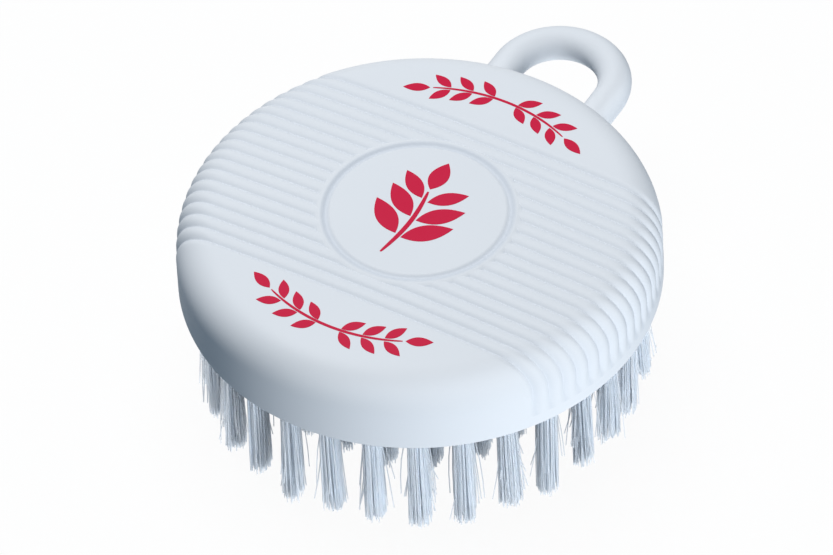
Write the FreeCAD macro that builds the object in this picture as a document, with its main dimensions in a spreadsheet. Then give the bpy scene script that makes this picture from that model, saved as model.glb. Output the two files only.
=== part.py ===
"""Round palm brush for vegetables: a ribbed moulded block with a hanging loop and wire-anchored tufts.

Millimetres. +Z up, +X along the ribs, +Y towards the hanging loop.
The origin is on the block's axis, in the plane of the bristle tips that the brush stands on.
"""
import FreeCAD, Part
import math
import os

import Sketcher

# Driving dimensions: alias, value in millimetres or degrees, meaning.
DIMENSIONS = [
    ("body_radius", 30.0, "outer radius of the block"),
    ("body_thickness", 11.0, "underside to the middle of the top"),
    ("crown_radius", 468.0, "radius of the slight crown of the top"),
    ("shoulder_radius", 4.8, "rounding between top and side wall"),
    ("bottom_chamfer", 0.4, "bevel round the underside"),
    ("rim_height", 2.0, "plain band of the wall below the ribs"),
    ("rib_field_width", 31.9, "width of the ribbed band across the block"),
    ("rib_pitch", 1.876, "rib to rib"),
    ("rib_depth", 0.31, "crest to valley"),
    ("rib_drop", 0.06, "crest below the smooth skin"),
    ("rib_bed_depth", 0.7, "skin to the hidden bed that carries the ribs"),
    ("medallion_radius", 10.9, "flat middle of the medallion, inside its groove"),
    ("medallion_drop", 0.2, "middle of the crown to the flat of the medallion"),
    ("medallion_collar", 0.35, "flat collar outside the groove"),
    ("groove_width", 0.9, "groove round the medallion, edge to edge"),
    ("groove_depth", 0.3, "flat of the medallion to the bottom of the groove"),
    ("loop_rod", 4.3, "diameter of the loop's rod"),
    ("loop_half_width", 7.05, "rod centre-line to the middle plane"),
    ("loop_leg", 5.0, "side wall to the centre of the loop's bend"),
    ("loop_root", 8.0, "length of leg buried in the block"),
    ("loop_lift", 0.3, "underside of the block to the underside of the rod"),
    ("bristle_length", 17.5, "free length of the tufts"),
    ("hole_diameter", 2.6, "drilled hole of a tuft"),
    ("hole_roof", 4.5, "blind end of the holes to the middle of the top"),
    ("tuft_flare", 0.18, "growth of a tuft's radius from root to tip"),
    ("edge_margin", 3.4, "side wall to the centres of the outer tufts"),
    ("ring_turn", -1.2, "angle of the first outer tuft"),
    ("ring_stagger", -6.3, "extra turn of each ring further in"),
    ("anchor_thickness", 0.35, "flat wire, across its thickness"),
    ("anchor_height", 2.0, "flat wire, along the hole"),
    ("anchor_bite", 0.15, "how far each end is pressed into the wall of the hole"),
    ("fold_thickness", 0.5, "folded filaments between anchor and blind end"),
]

TUFT_RINGS = 4
OUTER_TUFTS = 30
TUFT_SIDES = 10
SINGLE_RINGS = ["tuft_outer", "tuft_second"]
GROUPED_RINGS = ["tufts_third_ring", "tufts_fourth_ring"]

doc = FreeCAD.newDocument("vegetable_brush")
sizes = doc.addObject("Spreadsheet::Sheet", "sizes")
for row, (alias, value, meaning) in enumerate(DIMENSIONS, start=1):
    sizes.set(f"A{row}", meaning)
    sizes.set(f"B{row}", str(value))
    sizes.setAlias(f"B{row}", alias)
doc.recompute()


def size(alias):
    return float(sizes.get(alias))


def bind(obj, **expressions):
    """Tie properties to the sheet; a double underscore in a keyword stands for a dot."""
    for name, expression in expressions.items():
        obj.setExpression(name.replace("__", "."), expression)
    return obj


def primitive(kind, name, **expressions):
    return bind(doc.addObject(kind, name), **expressions)


def origin_plane(body, role):
    return next(plane for plane in body.Origin.OriginFeatures if plane.Role == role)


def revolved_block(name, depth, inset):
    """The round block as a revolved half section.

    depth is how far the wall above the rim, the shoulder and the crown lie inside the smooth skin, and inset
    is the same as an expression. The rim keeps the full radius, and the wall leans from it to the shoulder.
    """
    body = bind(doc.addObject("PartDesign::Body", name), Placement__Base__z="sizes.bristle_length")
    sketch = body.newObject("Sketcher::SketchObject", name + "_section")
    sketch.AttachmentSupport = (origin_plane(body, "YZ_Plane"), [""])
    sketch.MapMode = "FlatFace"

    radius, top = size("body_radius"), size("body_thickness")
    chamfer, rim = size("bottom_chamfer"), size("rim_height")
    shoulder, crown = size("shoulder_radius"), size("crown_radius")
    shoulder_x = radius - shoulder
    crown_z = top - crown
    shoulder_z = crown_z + math.sqrt((crown - shoulder) ** 2 - shoulder_x**2)
    meeting_angle = math.atan2(shoulder_z - crown_z, shoulder_x)

    def point(x, z):
        return FreeCAD.Vector(x, z, 0)

    def line(start, end):
        return sketch.addGeometry(Part.LineSegment(point(*start), point(*end)))

    def arc(centre, arc_radius, start, end):
        circle = Part.Circle(point(*centre), FreeCAD.Vector(0, 0, 1), arc_radius)
        return sketch.addGeometry(Part.ArcOfCircle(circle, start, end))

    underside = line((0, 0), (radius - chamfer, 0))
    bevel = line((radius - chamfer, 0), (radius, chamfer))
    rim_line = line((radius, chamfer), (radius, rim))
    wall = line((radius, rim), (radius - depth, shoulder_z))
    shoulder_arc = arc((shoulder_x, shoulder_z), shoulder - depth, 0, meeting_angle)
    crown_arc = arc((0, crown_z), crown - depth, meeting_angle, math.pi / 2)
    axis = line((0, top - depth), (0, 0))

    start, end, middle = 1, 2, 3
    origin, vertical_axis = -1, -2
    chain = [underside, bevel, rim_line, wall, shoulder_arc]
    for before, after in zip(chain, chain[1:]):
        sketch.addConstraint(Sketcher.Constraint("Coincident", before, end, after, start))
    sketch.addConstraint(Sketcher.Constraint("Tangent", shoulder_arc, end, crown_arc, start))
    sketch.addConstraint(Sketcher.Constraint("Coincident", crown_arc, end, axis, start))
    sketch.addConstraint(Sketcher.Constraint("Coincident", axis, end, underside, start))
    sketch.addConstraint(Sketcher.Constraint("Coincident", underside, start, origin, start))
    sketch.addConstraint(Sketcher.Constraint("Horizontal", underside))
    sketch.addConstraint(Sketcher.Constraint("Vertical", rim_line))
    sketch.addConstraint(Sketcher.Constraint("Vertical", axis))
    sketch.addConstraint(Sketcher.Constraint("Horizontal", shoulder_arc, middle, shoulder_arc, start))
    sketch.addConstraint(Sketcher.Constraint("PointOnObject", crown_arc, middle, vertical_axis))

    def dimension(kind, where, value, expression):
        index = sketch.addConstraint(Sketcher.Constraint(kind, *where, value))
        sketch.setExpression(f"Constraints[{index}]", expression)

    bevel_ends = (bevel, start, bevel, end)
    dimension("DistanceX", (origin, start, rim_line, start), radius, "sizes.body_radius")
    dimension("DistanceX", bevel_ends, chamfer, "sizes.bottom_chamfer")
    dimension("DistanceY", bevel_ends, chamfer, "sizes.bottom_chamfer")
    dimension("DistanceY", (origin, start, rim_line, end), rim, "sizes.rim_height")
    dimension(
        "DistanceX",
        (origin, start, shoulder_arc, middle),
        shoulder_x,
        "sizes.body_radius - sizes.shoulder_radius",
    )
    dimension("Radius", (shoulder_arc,), shoulder - depth, f"sizes.shoulder_radius - {inset}")
    dimension("Radius", (crown_arc,), crown - depth, f"sizes.crown_radius - {inset}")
    dimension("DistanceY", (origin, start, crown_arc, end), top - depth, f"sizes.body_thickness - {inset}")

    revolution = body.newObject("PartDesign::Revolution", name + "_revolved")
    revolution.Profile = sketch
    revolution.ReferenceAxis = (sketch, ["V_Axis"])
    revolution.Angle = 360
    body.Tip = revolution
    return body


def rib(offset, spacing):
    """One convex rib across the block at y = offset: up the wall, over the shoulder and down the other side.

    It is a round rod, mostly buried in the bed. The rod's centre-line runs on a sphere and a cylinder inside
    the skin, so that neighbouring ribs meet in even valleys on the top and on the round wall.
    """
    half_pitch = spacing / 2
    depth = size("rib_depth")
    section_radius = (half_pitch**2 + depth**2) / (2 * depth)
    radius = size("body_radius") - size("rib_drop")
    crown = size("crown_radius") - size("rib_drop")

    wall_x = math.sqrt((radius - section_radius) ** 2 - offset**2) + section_radius
    crown_r = math.sqrt((crown - section_radius) ** 2 - offset**2) + section_radius
    crown_z = size("bristle_length") + size("body_thickness") - size("crown_radius")
    bend_x = math.sqrt((size("body_radius") - size("shoulder_radius")) ** 2 - offset**2)
    bend_r = wall_x - bend_x
    bend_z = crown_z + math.sqrt((crown_r - bend_r) ** 2 - bend_x**2)
    meeting_angle = math.atan2(bend_z - crown_z, bend_x)
    foot_z = size("bristle_length") + size("rim_height") / 2

    def at(x, z):
        return FreeCAD.Vector(x, offset, z)

    def bend_point(angle, side):
        return at(side * (bend_x + bend_r * math.cos(angle)), bend_z + bend_r * math.sin(angle))

    def bend(side):
        return Part.Arc(*[bend_point(share * meeting_angle, side) for share in (0, 0.5, 1)])

    crown_top = at(0, crown_z + crown_r)
    crown_arc = Part.Arc(bend_point(meeting_angle, 1), crown_top, bend_point(meeting_angle, -1))
    right_wall = Part.LineSegment(at(wall_x, foot_z), bend_point(0, 1))
    left_wall = Part.LineSegment(bend_point(0, -1), at(-wall_x, foot_z))
    runs = [right_wall, bend(1), crown_arc, bend(-1), left_wall]
    path = Part.Wire(Part.sortEdges([run.toShape() for run in runs])[0])

    section = Part.Circle(at(wall_x - section_radius, foot_z), FreeCAD.Vector(0, 0, 1), section_radius)
    return path.makePipeShell([Part.Wire([section.toShape()])], True, True)


def tuft_places():
    """Ring number and placement of every tuft, from the outer ring inwards, with one in the middle."""
    places = []
    outer_radius = size("body_radius") - size("edge_margin")
    for ring in range(TUFT_RINGS):
        share = (TUFT_RINGS - ring) / TUFT_RINGS
        radius = share * outer_radius
        count = math.floor(share * OUTER_TUFTS)
        first = size("ring_turn") + ring * size("ring_stagger")
        for number in range(count):
            angle = first + number * 360 / count
            turn = FreeCAD.Rotation(FreeCAD.Vector(0, 0, 1), angle)
            places.append((ring, FreeCAD.Placement(turn.multVec(FreeCAD.Vector(radius, 0, 0)), turn)))
    places.append((None, FreeCAD.Placement()))
    return places


def copies(form, placements):
    """A group of separate solids: the form at every placement."""
    return Part.makeCompound([form.Shape.copy().transformed(p.toMatrix()) for p in placements])


def shaped(label, shape, placement=FreeCAD.Placement()):
    obj = doc.addObject("Part::Feature", label)
    obj.Label = label
    obj.Shape = shape
    obj.Placement = placement
    return obj


# Moulded block: smooth segments at both sides, a lower bed between them, and the ribs on the bed.
blank = revolved_block("block_blank", 0, "0")
bed = revolved_block("rib_bed", size("rib_bed_depth"), "sizes.rib_bed_depth")
doc.recompute()
# Twice as wide and as high as the block, so that it cuts clean through.
rib_field = primitive(
    "Part::Box",
    "rib_field",
    Length="4 * sizes.body_radius",
    Width="sizes.rib_field_width",
    Height="2 * sizes.body_thickness",
    Placement__Base__x="-2 * sizes.body_radius",
    Placement__Base__y="-sizes.rib_field_width / 2",
    Placement__Base__z="sizes.bristle_length - sizes.body_thickness / 2",
)
segments = doc.addObject("Part::Cut", "smooth_segments")
segments.Base = blank
segments.Tool = rib_field

rib_count = round(size("rib_field_width") / size("rib_pitch"))
rib_spacing = size("rib_field_width") / rib_count
ribs = []
for number in range(rib_count):
    rib_offset = (number - (rib_count - 1) / 2) * rib_spacing
    ribs.append(shaped(f"rib_{number + 1:02d}", rib(rib_offset, rib_spacing)))

# Hanging loop: a bent round rod, moulded on low at the side wall.
LOOP_Z = "sizes.bristle_length + sizes.loop_lift + sizes.loop_rod / 2"
LOOP_Y = "sizes.body_radius + sizes.loop_leg"
loop_bend = primitive(
    "Part::Torus",
    "loop_bend",
    Radius1="sizes.loop_half_width",
    Radius2="sizes.loop_rod / 2",
    Placement__Base__y=LOOP_Y,
    Placement__Base__z=LOOP_Z,
)
loop_bend.Angle3 = 180
loop_parts = [loop_bend]
for name, sign in (("loop_leg_left", "-"), ("loop_leg_right", "")):
    leg = doc.addObject("Part::Cylinder", name)
    leg.Placement.Rotation = FreeCAD.Rotation(FreeCAD.Vector(1, 0, 0), -90)
    bind(
        leg,
        Radius="sizes.loop_rod / 2",
        Height="sizes.loop_leg + sizes.loop_root",
        Placement__Base__x=f"{sign}sizes.loop_half_width",
        Placement__Base__y="sizes.body_radius - sizes.loop_root",
        Placement__Base__z=LOOP_Z,
    )
    loop_parts.append(leg)

# Every second rib is joined first: those don't touch each other, and the rest then fill the gaps.
half_ribbed = doc.addObject("Part::MultiFuse", "half_ribbed")
half_ribbed.Shapes = [bed] + ribs[0::2]
ribbed = doc.addObject("Part::MultiFuse", "ribbed")
ribbed.Shapes = [half_ribbed] + ribs[1::2]

# Medallion: a flat disc, flush with the ribs, that takes their place in the middle of the top. A round groove
# sets it off from a narrow flat collar, at which the ribs end.
MEDALLION_TOP = "sizes.bristle_length + sizes.body_thickness - sizes.medallion_drop"
MEDALLION_EDGE = "sizes.medallion_radius + sizes.groove_width + sizes.medallion_collar"
medallion_seat = primitive(
    "Part::Cylinder",
    "medallion_seat",
    Radius=f"{MEDALLION_EDGE} - sizes.medallion_collar / 2",
    Height="sizes.body_thickness",
    Placement__Base__z=f"{MEDALLION_TOP} - sizes.rib_bed_depth",
)
seated = doc.addObject("Part::Cut", "seated")
seated.Base = ribbed
seated.Tool = medallion_seat
medallion = primitive(
    "Part::Cylinder",
    "medallion",
    Radius=MEDALLION_EDGE,
    Height="2 * sizes.rib_bed_depth",
    Placement__Base__z=f"{MEDALLION_TOP} - 2 * sizes.rib_bed_depth",
)
GROOVE_RADIUS = "(sizes.groove_width ^ 2 / 4 + sizes.groove_depth ^ 2) / (2 * sizes.groove_depth)"
groove = primitive(
    "Part::Torus",
    "medallion_groove",
    Radius1="sizes.medallion_radius + sizes.groove_width / 2",
    Radius2=GROOVE_RADIUS,
    Placement__Base__z=f"{MEDALLION_TOP} + {GROOVE_RADIUS} - sizes.groove_depth",
)

moulding = doc.addObject("Part::MultiFuse", "moulding")
moulding.Shapes = [seated, segments, medallion] + loop_parts
moulding.Refine = True

# Anchor: a short piece of flat wire, wider than the hole, across the fold of the tuft.
HOLE_DEPTH = "sizes.body_thickness - sizes.hole_roof"
ANCHOR_LENGTH = "sizes.hole_diameter + 2 * sizes.anchor_bite"
anchor_form = primitive(
    "Part::Box",
    "anchor_form",
    Length="sizes.anchor_thickness",
    Width=ANCHOR_LENGTH,
    Height="sizes.anchor_height",
    Placement__Base__x="-sizes.anchor_thickness / 2",
    Placement__Base__y=f"-({ANCHOR_LENGTH}) / 2",
    Placement__Base__z=f"sizes.bristle_length + {HOLE_DEPTH} - sizes.fold_thickness - sizes.anchor_height",
)

# Tuft: a bundle of filaments, folded round its anchor, that fills its hole and spreads a little to the tips.
tuft_sections = []
for name, radius, height in (
    ("tuft_tip", "sizes.hole_diameter / 2 + sizes.tuft_flare", "0"),
    ("tuft_mouth", "sizes.hole_diameter / 2", "sizes.bristle_length"),
    ("tuft_root", "sizes.hole_diameter / 2", f"sizes.bristle_length + {HOLE_DEPTH}"),
):
    section = primitive("Part::RegularPolygon", name, Circumradius=radius, Placement__Base__z=height)
    section.Polygon = TUFT_SIDES
    tuft_sections.append(section)
bundle = doc.addObject("Part::Loft", "tuft_bundle")
bundle.Sections = tuft_sections
bundle.Solid = True
bundle.Ruled = True
tuft_form = doc.addObject("Part::Cut", "tuft_form")
tuft_form.Base = bundle
tuft_form.Tool = anchor_form

# Seat: the drilled blind hole with the two notches that the anchor's ends press into its wall.
hole_form = primitive(
    "Part::Cylinder",
    "hole_form",
    Radius="sizes.hole_diameter / 2",
    Height=HOLE_DEPTH,
    Placement__Base__z="sizes.bristle_length",
)
seat_form = doc.addObject("Part::Fuse", "seat_form")
seat_form.Base = hole_form
seat_form.Tool = anchor_form

doc.recompute()

tufts = tuft_places()
placements = [placement for ring, placement in tufts]
cuts = doc.addObject("Part::Compound", "block_cuts")
cuts.Links = [shaped("tuft_seats", copies(seat_form, placements)), groove]
brush_body = doc.addObject("Part::Cut", "brush_body")
brush_body.Base = moulding
brush_body.Tool = cuts
subparts = [brush_body, shaped("anchor_wires", copies(anchor_form, placements))]

# The outer two rings show between each other, so each of their tufts is a piece by itself.
for ring, prefix in enumerate(SINGLE_RINGS):
    ring_placements = [placement for number, placement in tufts if number == ring]
    for number, placement in enumerate(ring_placements, start=1):
        subparts.append(shaped(f"{prefix}_{number:02d}", tuft_form.Shape.copy(), placement))
for ring, label in enumerate(GROUPED_RINGS, start=len(SINGLE_RINGS)):
    ring_placements = [placement for number, placement in tufts if number == ring]
    subparts.append(shaped(label, copies(tuft_form, ring_placements)))
subparts.append(shaped("tuft_centre", tuft_form.Shape.copy()))
doc.recompute()

for obj in doc.Objects:
    if {"Invalid", "Error"} & set(obj.State):
        raise RuntimeError(f"{obj.Label} failed: {obj.State}")
for obj in subparts:
    if obj.Shape.isNull() or not obj.Shape.isValid():
        raise RuntimeError(f"{obj.Label} has no valid shape")

os.makedirs("parts", exist_ok=True)
for obj in subparts:
    obj.Shape.exportStep(f"parts/{obj.Label}.step")
print(f"{len(subparts)} nodes, {len(placements)} tufts, {rib_count} ribs")
print(f"body volume {brush_body.Shape.Volume:.0f} mm3, solids {len(brush_body.Shape.Solids)}")
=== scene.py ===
import math

import bpy
import numpy as np
from mathutils import Matrix, Vector


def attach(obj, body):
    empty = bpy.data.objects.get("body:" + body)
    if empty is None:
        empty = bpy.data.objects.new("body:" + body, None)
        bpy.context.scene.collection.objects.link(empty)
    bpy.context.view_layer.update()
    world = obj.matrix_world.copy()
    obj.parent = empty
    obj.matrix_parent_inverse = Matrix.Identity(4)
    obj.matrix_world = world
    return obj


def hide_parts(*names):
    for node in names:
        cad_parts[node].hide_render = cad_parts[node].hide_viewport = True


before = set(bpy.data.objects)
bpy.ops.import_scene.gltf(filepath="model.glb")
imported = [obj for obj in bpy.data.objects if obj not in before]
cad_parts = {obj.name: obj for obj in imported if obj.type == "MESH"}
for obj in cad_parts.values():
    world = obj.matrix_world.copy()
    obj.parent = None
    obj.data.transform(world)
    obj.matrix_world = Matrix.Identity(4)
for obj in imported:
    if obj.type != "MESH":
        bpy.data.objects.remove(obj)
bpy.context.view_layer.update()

# Block: one injection moulding in white polypropylene, with the hanging loop on the same shot.
# The mould leaves a satin skin with a faint orange peel, slow drifts of tone where the melt cooled,
# and hairline rubs from handling. It is drawn here in millimetres and brought to size at the end.
MM = 0.001


class Wire:
    """A shader node's output. Arithmetic on it adds Math nodes, and add() adds any other node."""

    def __init__(self, tree, output=None):
        self.tree = tree
        self.output = output

    def add(self, kind, settings=None, sockets=None, out=0):
        node = self.tree.nodes.new(kind)
        for name, value in (settings or {}).items():
            setattr(node, name, value)
        for name, value in (sockets or {}).items():
            if isinstance(value, Wire):
                self.tree.links.new(value.output, node.inputs[name])
            else:
                node.inputs[name].default_value = value
        return Wire(self.tree, node.outputs[out])

    def into(self, shader, socket):
        self.tree.links.new(self.output, shader.inputs[socket])

    def math(self, operation, first, second):
        return self.add("ShaderNodeMath", {"operation": operation}, {0: first, 1: second})

    def __add__(self, other):
        return self.math("ADD", self, other)

    __radd__ = __add__

    def __sub__(self, other):
        return self.math("SUBTRACT", self, other)

    def __rsub__(self, other):
        return self.math("SUBTRACT", other, self)

    def __mul__(self, other):
        return self.math("MULTIPLY", self, other)

    __rmul__ = __mul__

    def __pow__(self, other):
        return self.math("POWER", self, other)


MIX_FACTOR, MIX_FIRST, MIX_SECOND, MIX_COLOUR = 0, 6, 7, 2


def blended(factor, first, second):
    """The colour that runs from first to second as the factor runs from 0 to 1."""
    sockets = {MIX_FACTOR: factor, MIX_FIRST: first, MIX_SECOND: second}
    return factor.add("ShaderNodeMix", {"data_type": "RGBA"}, sockets, out=MIX_COLOUR)


def paint(red, green, blue):
    """A colour as a screen shows it, 0 to 255, in the linear values that a shader takes."""
    def linear(value):
        share = value / 255
        return share / 12.92 if share <= 0.04045 else ((share + 0.055) / 1.055) ** 2.4

    return (linear(red), linear(green), linear(blue), 1.0)


def finish(name):
    """A new material: the material, the start of its node tree, and its shader."""
    material = bpy.data.materials.new(name)
    material.use_nodes = True
    tree = material.node_tree
    return material, Wire(tree), tree.nodes["Principled BSDF"]


def millimetres(tree):
    """Object coordinates, in millimetres."""
    place = tree.add("ShaderNodeTexCoord", out="Object")
    return tree.add("ShaderNodeVectorMath", {"operation": "SCALE"}, {"Vector": place, "Scale": 1 / MM})


def coordinate(place, axis):
    return place.add("ShaderNodeSeparateXYZ", None, {"Vector": place}, out=axis)


def grain(place, per_mm, detail=2.0, stretch=None):
    """Noise from 0 to 1 with a given number of features to the millimetre."""
    if stretch:
        place = place.add("ShaderNodeMapping", None, {"Vector": place, "Scale": stretch})
    return place.add("ShaderNodeTexNoise", None, {"Vector": place, "Scale": per_mm, "Detail": detail})


def band(value, middle, half_width):
    """1 in the middle of a band of values, falling to 0 at its edges."""
    off = value.math("ABSOLUTE", value - middle, 0.0) * (1 / half_width)
    return 1 - value.math("MINIMUM", off, 1.0)


def above(value, limit):
    """1 where a value is above a limit, and 0 elsewhere."""
    return value.math("GREATER_THAN", value, limit)


def relief(shader, height, depth):
    """Raises the surface by depth millimetres where height is 1."""
    bump = height.add("ShaderNodeBump", None, {"Height": height, "Distance": depth * MM, "Strength": 1.0})
    bump.into(shader, "Normal")


BLOCK_RADIUS = 30.0
BLOCK_UNDERSIDE = 17.5
BLOCK_TOP = 28.5
RIM_HEIGHT = 2.0
RIM_TOP = BLOCK_UNDERSIDE + RIM_HEIGHT
RIM_BEVEL = 0.4
CROWN_RADIUS = 468.0
SHOULDER_RADIUS = 4.8
RIB_COUNT = 17
RIB_FIELD_WIDTH = 31.9
RIB_PITCH = RIB_FIELD_WIDTH / RIB_COUNT
RIB_DROP = 0.05
RIB_DEPTH_TOP = 0.3
RIB_DEPTH_SIDE = 0.28
SIDE_SLOPE = 0.5
VALLEY_START = 0.92
BED_DEPTH = 0.7
FADE_SHARPNESS = 3.0
EDGE_PITCHES = 0.7

crown_centre = BLOCK_TOP - CROWN_RADIUS
shoulder_ring = BLOCK_RADIUS - SHOULDER_RADIUS
shoulder_z = crown_centre + math.sqrt((CROWN_RADIUS - SHOULDER_RADIUS) ** 2 - shoulder_ring**2)
shoulder_turn = math.atan2(shoulder_z - crown_centre, shoulder_ring)
crown_edge = shoulder_ring + SHOULDER_RADIUS * math.cos(shoulder_turn)
rib_field = RIB_COUNT * RIB_PITCH / 2
chord = rib_field + EDGE_PITCHES * RIB_PITCH

# Painted shade greys the groove round the medallion and the valleys of the ribs, where shade falls.
# The walls are duller than the top.
WHITE_BRIGHT = paint(231, 233, 236)
WHITE_DULL = paint(225, 228, 232)
PAINTED_SHADE = paint(212, 217, 224)
GROOVE_SHADE_RADIUS = 11.55
GROOVE_SHADE_REACH = 0.6
GROOVE_SHADE_ABOVE = 26.5
VALLEY_SHADE_SHARE = 0.52
VALLEY_SHADE_FROM = 12.6
FIELD_EDGE_SHARPNESS = 40.0
SATIN_BELOW = 27.6
SATIN_FADE = 2.0
PLASTIC_ROUGHNESS = 0.27
PLASTIC_IOR = 1.49
PLASTIC_SHEEN = 0.12

moulding, tree, shader = finish("moulded_white_plastic")
place = millimetres(tree)
drift = grain(place, per_mm=0.05)
peel = grain(place, per_mm=0.7)
speckle = grain(place, per_mm=6.0, detail=3.0)
rubs = grain(place, per_mm=0.9, detail=4.0, stretch=(0.12, 1.6, 1.0)) ** 6.0
white = blended(drift * 0.75 + speckle * 0.25, WHITE_DULL, WHITE_BRIGHT)

across = coordinate(place, "Y")
height = coordinate(place, "Z")
flat_place = tree.add("ShaderNodeVectorMath", {"operation": "MULTIPLY"}, {0: place, 1: (1.0, 1.0, 0.0)})
from_axis = tree.add("ShaderNodeVectorMath", {"operation": "LENGTH"}, {0: flat_place}, out="Value")
# Painted shade: the groove round the medallion is darkened in the base colour, as if shade fell there.
in_groove = band(from_axis, GROOVE_SHADE_RADIUS, GROOVE_SHADE_REACH) ** 0.5
groove_painted_shade = in_groove * above(height, GROOVE_SHADE_ABOVE)
# Painted shade: the valleys between the ribs are darkened in the base colour, as if shade lay in them.
in_valley = band(tree.math("FRACT", across * (1 / RIB_PITCH), 0.0), 0.5, 0.5) ** 2.0
in_field = tree.math("MINIMUM", band(across, 0.0, rib_field + RIB_PITCH / 2) * FIELD_EDGE_SHARPNESS, 1.0)
ribbed = in_field * above(from_axis, VALLEY_SHADE_FROM) * above(height, RIM_TOP)
valley_painted_shade = VALLEY_SHADE_SHARE * in_valley * ribbed
# The painted shade of the groove and the rib valleys is mixed into the white base colour.
blended(tree.math("MAXIMUM", groove_painted_shade, valley_painted_shade), white, PAINTED_SHADE).into(shader, "Base Color")

satin = tree.math("MINIMUM", tree.math("MAXIMUM", (SATIN_BELOW - height) * (1 / SATIN_FADE), 0.0), 1.0)
roughness = PLASTIC_ROUGHNESS + 0.12 * drift + 0.06 * speckle + 0.5 * rubs + 0.3 * satin
roughness.into(shader, "Roughness")
relief(shader, peel + 0.12 * speckle, depth=0.006)
shader.inputs["IOR"].default_value = PLASTIC_IOR
shader.inputs["Specular IOR Level"].default_value = PLASTIC_SHEEN


def skin(radius):
    """Height and outward normal (radial, upward) of the smooth top at a radius from the axis."""
    if radius < crown_edge:
        slope = radius / CROWN_RADIUS
        return crown_centre + math.sqrt(CROWN_RADIUS**2 - radius**2), slope, math.sqrt(1 - slope**2)
    turn = math.acos(min(1.0, (radius - shoulder_ring) / SHOULDER_RADIUS))
    return shoulder_z + SHOULDER_RADIUS * math.sin(turn), math.cos(turn), math.sin(turn)


def rib_hollow(y, depth):
    """How far the ribbed skin lies under the smooth one: convex ribs with softly rounded valleys."""
    across = (abs(y) + rib_field) / RIB_PITCH
    share = abs(across % 1.0 - 0.5) * 2
    drop = RIB_DROP
    if abs(y) > rib_field:
        share = 1 - min(1.0, (abs(y) - rib_field) / (RIB_PITCH / 2))
        drop = RIB_DROP * share
    if share < VALLEY_START:
        wave = share**2 / VALLEY_START
    else:
        wave = 1 - (1 - share) ** 2 / (1 - VALLEY_START)
    return drop + depth * wave


def fading(hollow, height):
    """On the wall the valleys run out into the plain rim, where the bed comes up to the skin."""
    bed = BED_DEPTH * max(0.0, height - RIM_TOP) / (shoulder_z - RIM_TOP)
    if hollow == 0 or bed == 0:
        return 0.0
    return (hollow**-FADE_SHARPNESS + bed**-FADE_SHARPNESS) ** (-1 / FADE_SHARPNESS)


def draped(columns, rows, place):
    """A grid of columns by rows of faces, with every corner moved to place(column, row)."""
    bpy.ops.object.select_all(action="DESELECT")
    bpy.ops.mesh.primitive_grid_add(x_subdivisions=columns, y_subdivisions=rows, size=2)
    sheet = bpy.context.active_object
    for vertex in sheet.data.vertices:
        column = round((vertex.co.x + 1) / 2 * columns)
        row = round((vertex.co.y + 1) / 2 * rows)
        vertex.co = place(column, row)
    return sheet


# The ribbed band is drawn in slices along the ribs. RIB_STATIONS are the places of the slices on each half
# of a rib, as shares of the way from its crest to the valley.
CROWN_STEPS = 24
SHOULDER_STEPS = 14
WALL_STEPS = 12
SEGMENT_STEPS = 24
RIB_STATIONS = (0.2, 0.4, 0.58, 0.74, 0.86, 0.94, 1.0)


def wall_height(step):
    """The height that is reached after a number of steps down the wall to the rim."""
    return shoulder_z + (RIM_TOP - shoulder_z) * step / WALL_STEPS


def slice_stations():
    """Stations of a slice from the middle outwards: crown shares, shoulder turns, wall heights."""
    stations = [("crown", step / CROWN_STEPS) for step in range(CROWN_STEPS)]
    for step in range(SHOULDER_STEPS + 1):
        stations.append(("shoulder", shoulder_turn * (1 - step / SHOULDER_STEPS)))
    for step in range(1, WALL_STEPS + 1):
        stations.append(("wall", wall_height(step)))
    return stations


half_slice = slice_stations()
slice_reach = len(half_slice) - 1
slice_rows = []
for rib in range(RIB_COUNT):
    crest = (rib - (RIB_COUNT - 1) / 2) * RIB_PITCH
    before = [crest - share * RIB_PITCH / 2 for share in reversed(RIB_STATIONS)]
    after = [crest + share * RIB_PITCH / 2 for share in RIB_STATIONS[:-1]]
    slice_rows += before + [crest] + after
edge_rows = [rib_field + (1 - share) * RIB_PITCH / 2 for share in reversed((0.0,) + RIB_STATIONS)] + [chord]
slice_rows = [-y for y in reversed(edge_rows)] + slice_rows[1:] + edge_rows


def slice_radius(kind, value, y):
    """Distance from the axis of a station in the slice at y."""
    if kind == "crown":
        return math.hypot(y, value * math.sqrt(crown_edge**2 - y**2))
    return shoulder_ring + SHOULDER_RADIUS * math.cos(value) if kind == "shoulder" else BLOCK_RADIUS


def on_ribs(column, row):
    """A corner of the ribbed band, pressed in from the smooth skin by the hollow between the ribs."""
    y = slice_rows[row]
    side = -1 if column < slice_reach else 1
    kind, value = half_slice[abs(column - slice_reach)]
    radius = slice_radius(kind, value, y)
    x = math.sqrt(max(0.0, radius**2 - y**2))
    if kind == "wall":
        height, outward, upward = value, 1.0, 0.0
    else:
        height, outward, upward = skin(radius)
    steep = min(1.0, outward / SIDE_SLOPE)
    hollow = rib_hollow(y, RIB_DEPTH_TOP + (RIB_DEPTH_SIDE - RIB_DEPTH_TOP) * steep)
    if kind == "wall":
        hollow = fading(hollow, height)
    across = outward * x / radius if radius else 0.0
    in_plane = math.hypot(across, upward)
    return side * (x - hollow * across / in_plane**2), y, height - hollow * upward / in_plane**2


def radius_along(start, share):
    """The radius reached after a share of the way over the skin from a start radius to the wall."""
    def travelled(radius):
        if radius <= crown_edge:
            return radius
        turn = math.acos(min(1.0, (radius - shoulder_ring) / SHOULDER_RADIUS))
        return crown_edge + SHOULDER_RADIUS * (shoulder_turn - turn)

    length = travelled(start) + share * (travelled(BLOCK_RADIUS) - travelled(start))
    if length <= crown_edge:
        return length
    turn = shoulder_turn - (length - crown_edge) / SHOULDER_RADIUS
    return shoulder_ring + SHOULDER_RADIUS * math.cos(turn)


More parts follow.
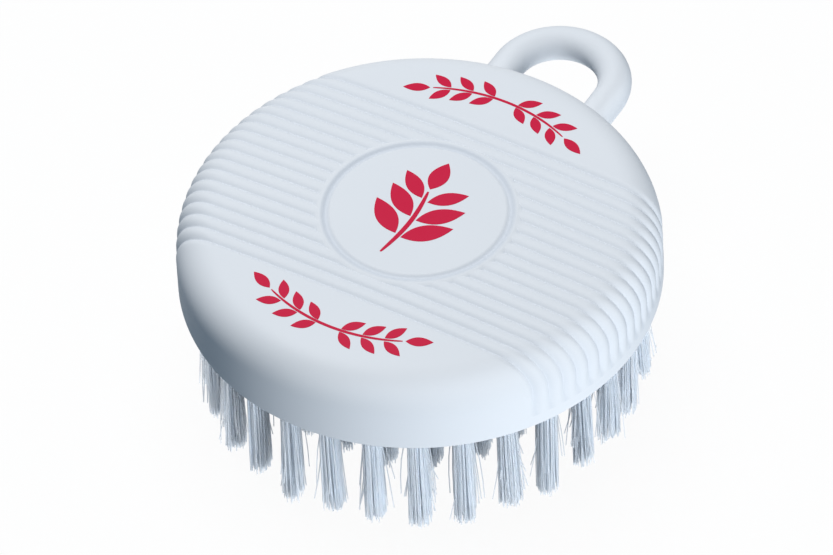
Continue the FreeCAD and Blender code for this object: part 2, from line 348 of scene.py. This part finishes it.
def on_segment(end):
    """Corners of the smooth segment at one end: meridians from the ribbed band out and down to the rim."""
    def place(column, row):
        side = -1 if column < slice_reach - WALL_STEPS else 1
        kind, value = half_slice[abs(column - (slice_reach - WALL_STEPS))]
        radius = slice_radius(kind, value, chord)
        bearing = math.atan2(chord, side * math.sqrt(radius**2 - chord**2))
        if row > SEGMENT_STEPS:
            radius = BLOCK_RADIUS
            height = wall_height(row - SEGMENT_STEPS)
        else:
            radius = radius_along(radius, row / SEGMENT_STEPS)
            height = skin(radius)[0]
        return radius * math.cos(bearing), end * radius * math.sin(bearing), height

    return place


def joined(pieces):
    bpy.ops.object.select_all(action="DESELECT")
    for piece in pieces:
        piece.select_set(True)
    bpy.context.view_layer.objects.active = pieces[0]
    bpy.ops.object.join()
    return bpy.context.active_object


MERGE_GAP = 0.002
SLIVER = 0.001

segment_columns = 2 * (slice_reach - WALL_STEPS)
block = joined(
    [
        draped(2 * slice_reach, len(slice_rows) - 1, on_ribs),
        draped(segment_columns, SEGMENT_STEPS + WALL_STEPS, on_segment(1)),
        draped(segment_columns, SEGMENT_STEPS + WALL_STEPS, on_segment(-1)),
    ]
)
bpy.ops.object.mode_set(mode="EDIT")
bpy.ops.mesh.select_all(action="SELECT")
bpy.ops.mesh.remove_doubles(threshold=MERGE_GAP)
bpy.ops.mesh.dissolve_degenerate(threshold=SLIVER)
bpy.ops.mesh.normals_make_consistent(inside=False)

# The open edge goes down to the bevel of the rim, in along the bevel, and is closed by the flat underside.
bpy.ops.mesh.select_all(action="DESELECT")
bpy.ops.mesh.select_non_manifold(
    use_wire=False, use_multi_face=False, use_non_contiguous=False, use_verts=False
)
bpy.ops.mesh.extrude_region_move(
    TRANSFORM_OT_translate={"value": (0, 0, BLOCK_UNDERSIDE + RIM_BEVEL - RIM_TOP)}
)
bpy.ops.mesh.extrude_region_move(TRANSFORM_OT_translate={"value": (0, 0, -RIM_BEVEL)})
narrowed = 1 - RIM_BEVEL / BLOCK_RADIUS
bpy.ops.transform.resize(value=(narrowed, narrowed, 1), center_override=(0, 0, 0))
bpy.ops.mesh.edge_face_add()
bpy.ops.mesh.select_all(action="SELECT")
bpy.ops.mesh.normals_make_consistent(inside=False)
bpy.ops.object.mode_set(mode="OBJECT")

# A flat round medallion takes the place of the ribs in the middle.
# A groove sets it off from a narrow collar, which slopes away under the ends of the ribs.
MEDALLION_TOP = 28.3
MEDALLION_FOOT = 27.0
SEAT_RADIUS = 12.1
SEAT_FLOOR = 27.4
CLEAR_OF_TOP = 30.0
GROOVE_MIDDLE = 11.38
GROOVE_HALF_WIDTH = 0.68
GROOVE_DEPTH = 0.265
GROOVE_STEPS = 12
COLLAR_EDGE = 13.1
COLLAR_POINTS = [(12.25, 28.29), (12.5, 28.19), (COLLAR_EDGE, 27.9)]
ROUND_STEPS = 144


def groove_point(share):
    """A point across the groove, whose section is one wave: smooth at both edges and round at the bottom."""
    radius = GROOVE_MIDDLE + GROOVE_HALF_WIDTH * (2 * share - 1)
    return radius, MEDALLION_TOP - GROOVE_DEPTH * (1 - math.cos(2 * math.pi * share)) / 2


SEAT_PROFILE = [
    (0.0, SEAT_FLOOR),
    (SEAT_RADIUS, SEAT_FLOOR),
    (SEAT_RADIUS, CLEAR_OF_TOP),
    (0.0, CLEAR_OF_TOP),
]
MEDALLION_PROFILE = [
    (0.0, MEDALLION_TOP),
    *[groove_point(step / GROOVE_STEPS) for step in range(GROOVE_STEPS + 1)],
    *COLLAR_POINTS,
    (COLLAR_EDGE, MEDALLION_FOOT),
    (0.0, MEDALLION_FOOT),
]


def only(thing):
    """Selects one object alone and makes it the active one."""
    bpy.ops.object.select_all(action="DESELECT")
    bpy.context.view_layer.objects.active = thing
    thing.select_set(True)


def closed(solid):
    """Merges the seams of a solid and points its faces outwards."""
    only(solid)
    bpy.ops.object.mode_set(mode="EDIT")
    bpy.ops.mesh.select_all(action="SELECT")
    bpy.ops.mesh.remove_doubles(threshold=SLIVER)
    bpy.ops.mesh.normals_make_consistent(inside=False)
    bpy.ops.object.mode_set(mode="OBJECT")
    return solid


def turned(profile):
    """A solid of revolution from a profile of radius and height points that starts and ends on the axis."""
    def place(column, row):
        radius, height = profile[column]
        bearing = 2 * math.pi * row / ROUND_STEPS
        return radius * math.cos(bearing), radius * math.sin(bearing), height

    return closed(draped(len(profile) - 1, ROUND_STEPS, place))


def combined(solid, tool, operation):
    """Cuts the tool out of the solid or joins it on, and removes the tool."""
    modifier = solid.modifiers.new(operation.lower(), "BOOLEAN")
    modifier.operation = operation
    modifier.solver = "EXACT"
    modifier.object = tool
    only(solid)
    bpy.ops.object.modifier_apply(modifier=modifier.name)
    bpy.data.objects.remove(tool)


# The hanging loop is a bent round rod that comes out of the wall just above the underside.
LOOP_ROD = 2.15
LOOP_HALF_WIDTH = 7.05
LOOP_CENTRE = 35.0
LOOP_ROOT = 22.0
LOOP_HEIGHT = 19.95
LOOP_BEND_STEPS = 40
LOOP_SIDES = 32


def loop_path():
    """Centre points of the rod, and the direction across it in the loop's plane."""
    points = [((LOOP_HALF_WIDTH, LOOP_ROOT), (1.0, 0.0))]
    for step in range(LOOP_BEND_STEPS + 1):
        turn = math.pi * step / LOOP_BEND_STEPS
        out = (math.cos(turn), math.sin(turn))
        points.append(((LOOP_HALF_WIDTH * out[0], LOOP_CENTRE + LOOP_HALF_WIDTH * out[1]), out))
    points.append(((-LOOP_HALF_WIDTH, LOOP_ROOT), (-1.0, 0.0)))
    return points


rod_path = loop_path()


def on_rod(column, row):
    """A corner of the rod; the first and last rows close its buried ends."""
    (x, y), out = rod_path[min(max(row - 1, 0), len(rod_path) - 1)]
    radius = 0.0 if row in (0, len(rod_path) + 1) else LOOP_ROD
    turn = 2 * math.pi * column / LOOP_SIDES
    reach = radius * math.cos(turn)
    return x + out[0] * reach, y + out[1] * reach, LOOP_HEIGHT + radius * math.sin(turn)


loop_rod = closed(draped(LOOP_SIDES, len(rod_path) + 1, on_rod))

# The tuft holes are drilled blind into the underside, in four rings round a middle one.
OUTER_RING = 26.6
RING_TUFTS = (30, 22, 15, 7)
FIRST_ANGLE = -1.2
RING_STAGGER = -6.3
HOLE_RADIUS = 1.3
HOLE_END = 24.0
HOLE_SIDES = 24


def ring_spots(ring):
    """Centre and bearing of every tuft of a ring, counted from the outer one."""
    share = (len(RING_TUFTS) - ring) / len(RING_TUFTS)
    spots = []
    for number in range(RING_TUFTS[ring]):
        bearing = math.radians(FIRST_ANGLE + ring * RING_STAGGER) + 2 * math.pi * number / RING_TUFTS[ring]
        spots.append((share * OUTER_RING * np.array([math.cos(bearing), math.sin(bearing)]), bearing))
    return spots


rings = [ring_spots(ring) for ring in range(len(RING_TUFTS))]
middle_spot = [(np.zeros(2), 0.0)]
drills = []
for centre, _ in sum(rings, []) + middle_spot:
    bpy.ops.object.select_all(action="DESELECT")
    bpy.ops.mesh.primitive_cylinder_add(
        vertices=HOLE_SIDES,
        radius=HOLE_RADIUS,
        depth=2 * (HOLE_END - BLOCK_UNDERSIDE),
        location=(centre[0], centre[1], BLOCK_UNDERSIDE),
    )
    bpy.ops.object.transform_apply()
    drills.append(bpy.context.active_object)

SMOOTH_BELOW = math.radians(32)

combined(block, loop_rod, "UNION")
combined(block, turned(SEAT_PROFILE), "DIFFERENCE")
combined(block, turned(MEDALLION_PROFILE), "UNION")
combined(block, joined(drills), "DIFFERENCE")
block.data.transform(Matrix.Scale(MM, 4))
only(block)
bpy.ops.object.shade_smooth_by_angle(angle=SMOOTH_BELOW)
block.name = block.data.name = "moulded_block"
block.data.materials.clear()
block.data.materials.append(moulding)
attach(block, "root")
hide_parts("brush_body")

# Anchors: short lengths of flat drawn wire, one to a hole, driven in over the fold of each tuft.
# Bright steel with the fine lengthwise lines of the drawing die.
STEEL_BRIGHT = paint(205, 204, 200)
STEEL_DULL = paint(172, 171, 168)

wire_steel, tree, shader = finish("drawn_wire_steel")
place = millimetres(tree)
lines = grain(place, per_mm=3.0, detail=3.0, stretch=(1.0, 1.0, 8.0))
blended(lines, STEEL_DULL, STEEL_BRIGHT).into(shader, "Base Color")
(0.24 + 0.2 * lines).into(shader, "Roughness")
relief(shader, lines, depth=0.004)
shader.inputs["Metallic"].default_value = 1.0

anchor_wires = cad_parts["anchor_wires"]
anchor_wires.data.materials.clear()
anchor_wires.data.materials.append(wire_steel)

# Tufts: bundles of clear-white polyamide filaments, each folded in half over its anchor, so that both legs
# come out of the same hole. They fill the hole, spread a little on the way down, hang together in clumps,
# and are trimmed by shears that leave uneven ends.
FILAMENT_RADIUS = 0.073
FILAMENT_SIDES = 4
FOLDS_PER_TUFT = 100
LEG_STOPS = np.array([1.0, 0.74, 0.48, 0.22, 0.0])
BEND_STOPS = 2
FILAMENT_SEED = 20

points_per_leg = len(LEG_STOPS) + BEND_STOPS
filament_points = 2 * points_per_leg + 1


def straight_filament():
    """One filament as a straight rod whose rings lie one unit apart, to be bent along a path."""
    bpy.ops.object.select_all(action="DESELECT")
    bpy.ops.mesh.primitive_circle_add(vertices=FILAMENT_SIDES, radius=FILAMENT_RADIUS, fill_type="NGON")
    bpy.ops.object.mode_set(mode="EDIT")
    for _ in range(filament_points - 1):
        bpy.ops.mesh.extrude_region_move(TRANSFORM_OT_translate={"value": (0, 0, 1)})
    bpy.ops.mesh.select_all(action="SELECT")
    bpy.ops.mesh.normals_make_consistent(inside=False)
    bpy.ops.object.mode_set(mode="OBJECT")
    rod = bpy.context.active_object
    corners = np.array([vertex.co for vertex in rod.data.vertices])
    faces = [list(polygon.vertices) for polygon in rod.data.polygons]
    bpy.data.objects.remove(rod)
    return corners, faces


rod_corners, rod_faces = straight_filament()
rod_ring = np.rint(rod_corners[:, 2]).astype(int)
draw = np.random.default_rng(FILAMENT_SEED)

# Leaning, bowing and trimming, as spreads or ranges in millimetres. The trim slants a little across a tuft.
# The inner rings are trimmed shorter than the outer one and lean towards the middle.
TUFT_FLARE = 0.17
TUFT_LEAN = 0.22
TUFT_SHORT = 0.35
INNER_LEAN = 0.9
INNER_SHORT = 2.6
CLUMPS = 5
CLUMP_RING = 0.7
CLUMP_LEAN = 0.1
CLUMP_SHORT = 0.5
LEG_LEAN = 0.09
LEG_BOW = 0.07
LEG_SHORT = 0.65
LEG_CURVE = 1.35
CLIPPED_SHARE = 0.2
CLIPPED_BY = (0.3, 2.4)
STRAY_SHARE = 0.055
STRAY_LEAN = (0.5, 1.3)
STRAY_BOW = (-0.6, 0.5)
STRAY_SHORT = (0.2, 5.0)
STRAY_CORE = 0.2
TRIM_HEIGHT = 0.75
TRIM_SLANT = 0.34
LONG_SIDE = Vector((-0.85, -0.53))
LOWEST_END = 0.06


def leg(root, clump, axis_turn):
    """Points of one leg from its cut end up to the mouth of the hole, in the tuft's own axes."""
    stray = draw.random() < STRAY_SHARE
    outward = root / HOLE_RADIUS
    drift = TUFT_FLARE * outward + clump["lean"] + draw.normal(0, LEG_LEAN, 2)
    bow = draw.normal(0, LEG_BOW, 2)
    short = abs(draw.normal(0, LEG_SHORT))
    if draw.random() < CLIPPED_SHARE:
        short += draw.uniform(*CLIPPED_BY)
    if stray:
        side = outward / max(np.linalg.norm(outward), STRAY_CORE)
        drift = drift + side * draw.uniform(*STRAY_LEAN)
        bow = bow + side * draw.uniform(*STRAY_BOW)
        short += draw.uniform(*STRAY_SHORT)
    end = axis_turn @ (root + drift)
    trim = TRIM_HEIGHT + clump["short"] + short - TRIM_SLANT * float(np.dot(end, LONG_SIDE))
    length = BLOCK_UNDERSIDE - max(trim, LOWEST_END)
    sideways = root + np.outer(LEG_STOPS**LEG_CURVE, drift) + np.outer(np.sin(np.pi * LEG_STOPS), bow)
    return np.column_stack([sideways, BLOCK_UNDERSIDE - length * LEG_STOPS])


def tuft_clumps(inner):
    """The clumps of one tuft: where each stands in the hole, how it leans and how short it is trimmed."""
    lean = draw.normal(0, TUFT_LEAN, 2) - np.array([INNER_LEAN if inner else 0.0, 0.0])
    short = abs(draw.normal(0, TUFT_SHORT)) + (INNER_SHORT if inner else 0.0)
    clumps = []
    for number in range(CLUMPS):
        bearing = 2 * math.pi * (number + draw.random()) / CLUMPS
        clumps.append(
            {
                "middle": CLUMP_RING * np.array([math.cos(bearing), math.sin(bearing)]),
                "lean": lean + draw.normal(0, CLUMP_LEAN, 2),
                "short": short + abs(draw.normal(0, CLUMP_SHORT)),
            }
        )
    return clumps


# The fold: each filament comes up on one side of the anchor, over its upper edge and down on the other side.
ANCHOR_TOP = 23.5
ANCHOR_CLEARANCE = 0.3
FOLD_ROOM = 0.3
FOLD_START = 0.4
FOLD_NARROWING = 0.8
FOLD_CREST_DROP = 0.08
BEARING_PLAY = 0.2
ROOT_PLAY = 0.06
GOLDEN_ANGLE = math.pi * (3 - math.sqrt(5))


def folded_path(number, clumps, axis_turn):
    """Points of one filament from end to end, in the tuft's own axes. Its number sets its place."""
    reach = (HOLE_RADIUS - FILAMENT_RADIUS) * math.sqrt((number + 0.5) / FOLDS_PER_TUFT)
    bearing = number * GOLDEN_ANGLE + draw.uniform(-BEARING_PLAY, BEARING_PLAY)
    first = np.array([abs(reach * math.cos(bearing)), reach * math.sin(bearing)])
    second = first * np.array([-1.0, 1.0]) + draw.uniform(-ROOT_PLAY, ROOT_PLAY, 2)
    crest = ANCHOR_TOP + FILAMENT_RADIUS + FOLD_ROOM * reach / HOLE_RADIUS
    halves = []
    for root, side in ((first, 1), (second, -1)):
        clump = min(clumps, key=lambda c: np.linalg.norm(c["middle"] - root))
        out = side * max(abs(root[0]), ANCHOR_CLEARANCE)
        start = [out, root[1], ANCHOR_TOP - FOLD_START]
        shoulder = [FOLD_NARROWING * out, root[1], crest - FOLD_CREST_DROP]
        halves.append(np.vstack([leg(root, clump, axis_turn), start, shoulder]))
    top = [0, (first[1] + second[1]) / 2, crest]
    return np.vstack([halves[0], top, halves[1][::-1]])


def bent_filament(path):
    """Corners of the straight filament, bent along a path."""
    along = np.gradient(path, axis=0)
    along /= np.linalg.norm(along, axis=1)[:, None]
    across = np.array([0.0, 1.0, 0.0])
    normal = np.cross(across, along)
    normal /= np.linalg.norm(normal, axis=1)[:, None]
    return path[rod_ring] + rod_corners[:, :1] * normal[rod_ring] + rod_corners[:, 1:2] * across


def tuft_bundle(corners, faces, marks, centre, angle, inner):
    """Adds every filament of one tuft to a mesh's lists. Marks are its tone and how near an end is."""
    turn = np.array([[math.cos(angle), -math.sin(angle)], [math.sin(angle), math.cos(angle)]])
    leg_share = np.abs(2 * rod_ring / (filament_points - 1) - 1)
    clumps = tuft_clumps(inner)
    for number in range(FOLDS_PER_TUFT):
        bent = bent_filament(folded_path(number, clumps, turn))
        bent[:, :2] = bent[:, :2] @ turn.T + centre
        start = len(corners) * len(rod_corners)
        corners.append(bent * MM)
        faces.extend([[start + vertex for vertex in face] for face in rod_faces])
        marks.append(np.column_stack([np.full(len(bent), draw.random()), leg_share]))


# Light passes through the filaments and scatters; a little less of it gets through near the cut ends.
FILAMENT_CLEAR = paint(240, 246, 254)
FILAMENT_MILKY = paint(249, 252, 255)
FILAMENT_THROUGH = 0.96
FILAMENT_IOR = 1.53
CUT_END_LOSS = 0.15
CUT_END_SHARPNESS = 8.0

bristle, tree, shader = finish("milky_polyamide_filament")
strand = tree.add("ShaderNodeUVMap", {"uv_map": "strand"})
tone = coordinate(strand, "X")
cut_end = coordinate(strand, "Y") ** CUT_END_SHARPNESS
streak = grain(millimetres(tree), per_mm=1.1, stretch=(1.0, 1.0, 0.15))
milkiness = 0.6 * tone + 0.25 * streak + 0.3 * cut_end
blended(milkiness, FILAMENT_CLEAR, FILAMENT_MILKY).into(shader, "Base Color")
(0.3 + 0.2 * tone).into(shader, "Roughness")
relief(shader, streak, depth=0.01)
shader.inputs["IOR"].default_value = FILAMENT_IOR
surface = Wire(tree.tree, shader.outputs["BSDF"])
through = tree.add("ShaderNodeBsdfTranslucent", None, {"Color": FILAMENT_MILKY})
through_share = FILAMENT_THROUGH - CUT_END_LOSS * cut_end
filament = tree.add("ShaderNodeMixShader", None, {0: through_share, 1: surface, 2: through})
filament.into(bristle.node_tree.nodes["Material Output"], "Surface")

tuft_groups = []
for prefix, spots in zip(("tuft_outer", "tuft_second"), rings):
    tuft_groups += [(f"{prefix}_{number:02d}", [spot]) for number, spot in enumerate(spots, start=1)]
tuft_groups += zip(("tufts_third_ring", "tufts_fourth_ring"), rings[2:])
tuft_groups.append(("tuft_centre", middle_spot))

for node, spots in tuft_groups:
    corners, faces, marks = [], [], []
    for centre, angle in spots:
        tuft_bundle(corners, faces, marks, centre, angle, inner=not node.startswith("tuft_outer"))
    mesh = bpy.data.meshes.new("filaments_" + node)
    mesh.from_pydata(np.vstack(corners).tolist(), [], faces)
    vertex_of_loop = np.zeros(len(mesh.loops), dtype=np.int32)
    mesh.loops.foreach_get("vertex_index", vertex_of_loop)
    layer = mesh.uv_layers.new(name="strand")
    layer.data.foreach_set("uv", np.vstack(marks)[vertex_of_loop].astype(np.float32).ravel())
    mesh.polygons.foreach_set("use_smooth", [True] * len(mesh.polygons))
    mesh.materials.append(bristle)
    bundle = bpy.data.objects.new("filaments_" + node, mesh)
    bpy.context.scene.collection.objects.link(bundle)
    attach(bundle, "root")
    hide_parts(node)

# Print: red pad-printing ink, laid as a thin film on the finished moulding.
# A leaf sprig stands on the medallion, and a leafy garland follows the rim on each smooth segment.
INK_RED = paint(203, 24, 62)
INK_THIN = paint(206, 38, 74)
INK_SHEEN = 0.1
FILM = 0.02
PAD_LIFT = 5.0
LEAF_POINTS = 12
LEAF_SWELL = 0.66
STALK_REACH = 0.3
TIP_REACH = 0.62
STROKE_END = 0.35

ink, tree, shader = finish("red_pad_print_ink")
place = millimetres(tree)
film_drift = grain(place, per_mm=0.35)
screen = grain(place, per_mm=9.0)
blended(0.35 * film_drift + 0.25 * screen, INK_RED, INK_THIN).into(shader, "Base Color")
(0.34 + 0.14 * screen).into(shader, "Roughness")
relief(shader, screen, depth=0.004)
shader.inputs["Specular IOR Level"].default_value = INK_SHEEN


def leaf(length, width, stalk_at, heading):
    """A flat pointed leaf with its stalk at a point and its tip towards the heading in degrees."""
    bpy.ops.object.select_all(action="DESELECT")
    bpy.ops.curve.primitive_bezier_curve_add()
    outline = bpy.context.active_object
    outline.data.dimensions = "2D"
    outline.data.fill_mode = "BOTH"
    outline.data.resolution_u = LEAF_POINTS
    spline = outline.data.splines[0]
    spline.use_cyclic_u = True
    stalk, tip = spline.bezier_points
    swell = LEAF_SWELL * width
    for point, at, reach, side in ((stalk, 0.0, STALK_REACH, 1), (tip, length, TIP_REACH, -1)):
        point.handle_left_type = point.handle_right_type = "FREE"
        point.co = (at, 0, 0)
        point.handle_left = (reach * length, -side * swell, 0)
        point.handle_right = (reach * length, side * swell, 0)
    bpy.ops.object.convert(target="MESH")
    blade = bpy.context.active_object
    turn = Matrix.Rotation(math.radians(heading), 4, "Z")
    blade.data.transform(Matrix.Translation((stalk_at[0], stalk_at[1], 0)) @ turn)
    return blade


def stroke(path, width):
    """A flat stroke of the pen along a path of x, y points, thinning at both ends."""
    path = np.array(path)
    along = np.gradient(path, axis=0)
    along /= np.linalg.norm(along, axis=1)[:, None]

    def place(column, row):
        share = column / (len(path) - 1)
        half = width / 2 * (STROKE_END + (1 - STROKE_END) * math.sqrt(math.sin(math.pi * share)))
        x, y = path[column] + np.array([-along[column, 1], along[column, 0]]) * half * (2 * row - 1)
        return x, y, 0

    return draped(len(path) - 1, 1, place)


def printed(name, shapes):
    """Joins flat shapes, lays them on the moulding and gives them the thickness of the ink."""
    film = joined(shapes)
    film.name = film.data.name = name
    film.data.transform(Matrix.Translation((0, 0, BLOCK_TOP + PAD_LIFT)))
    film.data.transform(Matrix.Scale(MM, 4))
    bpy.ops.object.mode_set(mode="EDIT")
    bpy.ops.mesh.select_all(action="SELECT")
    bpy.ops.mesh.normals_make_consistent(inside=False)
    bpy.ops.object.mode_set(mode="OBJECT")
    if sum(polygon.normal.z for polygon in film.data.polygons) < 0:
        film.data.flip_normals()
    laid = film.modifiers.new("laid_on_the_moulding", "SHRINKWRAP")
    laid.target = block
    laid.wrap_method = "PROJECT"
    laid.use_project_z = True
    laid.use_negative_direction = True
    laid.use_positive_direction = False
    laid.offset = FILM / 2 * MM
    thick = film.modifiers.new("film", "SOLIDIFY")
    thick.thickness = FILM * MM
    thick.offset = 1.0
    for modifier in (laid, thick):
        bpy.ops.object.modifier_apply(modifier=modifier.name)
    film.data.materials.clear()
    film.data.materials.append(ink)
    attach(film, "root")


def polar(distance, degrees):
    """The point at a distance from the origin, in a direction in degrees."""
    return distance * np.array([math.cos(math.radians(degrees)), math.sin(math.radians(degrees))])


# The sprig: a bowed stem with one leaf on top and pairs of leaves at the sides.
# SIDE_LEAVES gives each pair's share of the way up the stem and its length.
STEM_FOOT = np.array([-0.6, -8.2])
STEM_HEIGHT = 11.6
STEM_BOW = 0.7
STEM_BOW_TURN = 3.0
STEM_WIDTH = 0.62
STEM_POINTS = 25
TOP_LEAF_LENGTH = 5.0
TOP_LEAF_WIDTH = 2.5
TOP_LEAF_HEADING = 92
TOP_LEAF_GAP = 0.45
SIDE_LEAVES = ((0.26, 6.6), (0.55, 6.2), (0.84, 5.2))
SIDE_LEAF_WIDTH_SHARE = 0.41
SIDE_LEAF_SPREAD = 50
SIDE_LEAF_GAP = 0.62
SIDE_LEAF_STAGGER = 0.015


def stem_point(share):
    """A point of the sprig's stem, from its cut foot to the stalk of the top leaf."""
    return STEM_FOOT + np.array([STEM_BOW * math.sin(STEM_BOW_TURN * share), STEM_HEIGHT * share])


sprig = [stroke([stem_point(share) for share in np.linspace(0, 1, STEM_POINTS)], STEM_WIDTH)]
top_stalk = stem_point(1) + polar(TOP_LEAF_GAP, TOP_LEAF_HEADING)
sprig.append(leaf(TOP_LEAF_LENGTH, TOP_LEAF_WIDTH, top_stalk, TOP_LEAF_HEADING))
for share, length in SIDE_LEAVES:
    for hand in (-1, 1):
        heading = 90 - hand * SIDE_LEAF_SPREAD
        stalk_at = stem_point(share - SIDE_LEAF_STAGGER * hand) + polar(SIDE_LEAF_GAP, heading)
        sprig.append(leaf(length, SIDE_LEAF_WIDTH_SHARE * length, stalk_at, heading))
printed("print_sprig", sprig)

# The garlands: two branches from the middle out, with pairs of leaves and one at each end.
# Angles are in degrees, and leaves are given by length and width.
GARLAND_RADIUS = 21.8
GARLAND_HALF_ANGLE = 25.0
GARLAND_WIDTH = 0.4
GARLAND_POINTS = 41
GARLAND_PAIRS = 3
FIRST_PAIR = 3.5
PAIR_STEP = 7.4
PAIR_SPREAD = 40
PAIR_LEAF = (3.1, 1.35)
PAIR_GAP = 0.4
END_LEAF = (3.4, 1.45)
END_GAP = 0.35

for name, middle in (("print_garland_upper", 90), ("print_garland_lower", -90)):
    bearings = np.linspace(middle - GARLAND_HALF_ANGLE, middle + GARLAND_HALF_ANGLE, GARLAND_POINTS)
    garland = [stroke([polar(GARLAND_RADIUS, bearing) for bearing in bearings], GARLAND_WIDTH)]
    for hand in (-1, 1):
        for number in range(GARLAND_PAIRS):
            bearing = middle + hand * (FIRST_PAIR + number * PAIR_STEP)
            for edge in (-1, 1):
                heading = bearing + hand * 90 + edge * PAIR_SPREAD
                stalk_at = polar(GARLAND_RADIUS, bearing) + polar(PAIR_GAP, heading)
                garland.append(leaf(*PAIR_LEAF, stalk_at, heading))
        bearing = middle + hand * GARLAND_HALF_ANGLE
        heading = bearing + hand * 90
        stalk_at = polar(GARLAND_RADIUS, bearing) + polar(END_GAP, heading)
        garland.append(leaf(*END_LEAF, stalk_at, heading))
    printed(name, garland)

# Camera: the photograph's own view, on a long lens.
# Turns run round the brush from -Y towards +X, and rises go up from the horizontal.
PHOTO_WIDTH = 833
FOCAL_PIXELS = 8000
SENSOR = 36.0
CAMERA_TURN = math.radians(31.82)
CAMERA_RISE = math.radians(45.96)
CAMERA_ROLL = math.radians(-2.65)
CAMERA_DISTANCE = 979.9
CAMERA_ASIDE = -0.18
CAMERA_ALOFT = -8.32


def direction(turn, rise):
    """The direction from the brush at a turn and a rise in radians."""
    return Vector((math.sin(turn) * math.cos(rise), -math.cos(turn) * math.cos(rise), math.sin(rise)))


back = direction(CAMERA_TURN, CAMERA_RISE)
level = Vector((math.cos(CAMERA_TURN), math.sin(CAMERA_TURN), 0))
upright = back.cross(level)
right = level * math.cos(CAMERA_ROLL) + upright * math.sin(CAMERA_ROLL)
up = back.cross(right)
eye = back * CAMERA_DISTANCE + right * CAMERA_ASIDE + up * CAMERA_ALOFT + Vector((0, 0, BLOCK_TOP))

lens = bpy.data.cameras.new("photo_camera")
lens.sensor_fit = "HORIZONTAL"
lens.sensor_width = SENSOR
lens.lens = FOCAL_PIXELS * SENSOR / PHOTO_WIDTH
camera = bpy.data.objects.new("photo_camera", lens)
camera.matrix_world = Matrix.Translation(eye * MM) @ Matrix((right, up, back)).transposed().to_4x4()
bpy.context.scene.collection.objects.link(camera)
bpy.context.scene.camera = camera

# Studio: a white sheet that lets lamp light through from below, blue-grey walls, a soft lamp overhead that
# leans to the back, and a small one under the sheet at the right. To the eye and in reflections sheet and
# walls are white, and the sheet still takes a faint shadow.
SHEET_SIZE = 6.0
SHEET_SEEN = (0.93, 0.93, 0.93, 1.0)
SHEET_BOUNCE = (0.09, 0.14, 0.19, 1.0)
SHEET_GLOW = 0.95
WALLS = (0.04, 0.085, 0.13, 1.0)
PURE_WHITE = (1.0, 1.0, 1.0, 1.0)


def seen(tree):
    """1 for what is seen, directly, through a clear thing or by reflection, and 0 for bounced light."""
    direct, clear, mirrored = [
        tree.add("ShaderNodeLightPath", out=ray)
        for ray in ("Is Camera Ray", "Is Transmission Ray", "Is Glossy Ray")
    ]
    return tree.math("MAXIMUM", tree.math("MAXIMUM", direct, clear), mirrored)


sheet_paper, tree, shader = finish("white_sheet")
visible = seen(tree)
paper = tree.add("ShaderNodeBsdfDiffuse", None, {"Color": blended(visible, SHEET_BOUNCE, SHEET_SEEN)})
glow = tree.add("ShaderNodeEmission", None, {"Color": PURE_WHITE, "Strength": 1.0})
front = tree.add("ShaderNodeMixShader", None, {0: SHEET_GLOW * visible, 1: paper, 2: glow})
lets_through = tree.add("ShaderNodeBsdfTransparent")
underneath = tree.add("ShaderNodeNewGeometry", out="Backfacing")
lamp_light = tree.add("ShaderNodeLightPath", out="Is Shadow Ray")
from_below = tree.math("MAXIMUM", underneath, lamp_light)
sheet_surface = tree.add("ShaderNodeMixShader", None, {0: from_below, 1: front, 2: lets_through})
sheet_surface.into(sheet_paper.node_tree.nodes["Material Output"], "Surface")
sheet_paper.node_tree.nodes.remove(shader)
sheet_paper.cycles.emission_sampling = "NONE"

bpy.ops.object.select_all(action="DESELECT")
bpy.ops.mesh.primitive_plane_add(size=SHEET_SIZE)
sheet = bpy.context.active_object
sheet.name = "white_sheet"
sheet.data.materials.append(sheet_paper)

world = bpy.data.worlds.new("studio_walls")
bpy.context.scene.world = world
world.use_nodes = True
tree = Wire(world.node_tree)
blended(seen(tree), WALLS, PURE_WHITE).into(world.node_tree.nodes["Background"], "Color")


def softbox(name, turn, rise, distance, width, power, colour):
    """A square lamp that faces the brush. Degrees of turn from the camera and of rise, metres, watts."""
    lamp = bpy.data.lights.new(name, "AREA")
    lamp.shape = "SQUARE"
    lamp.size = width
    lamp.energy = power
    lamp.color = colour
    stand = bpy.data.objects.new(name, lamp)
    way = direction(CAMERA_TURN + math.radians(turn), math.radians(rise))
    stand.location = way * distance
    stand.rotation_euler = way.to_track_quat("Z", "Y").to_euler()
    bpy.context.scene.collection.objects.link(stand)


softbox("overhead_softbox", turn=205, rise=80, distance=0.65, width=0.5, power=4.08, colour=(1, 1, 1))
softbox("low_softbox", turn=31, rise=-12, distance=0.6, width=0.2, power=3.7, colour=(0.93, 0.965, 1))

bpy.context.scene.view_settings.view_transform = "Standard"
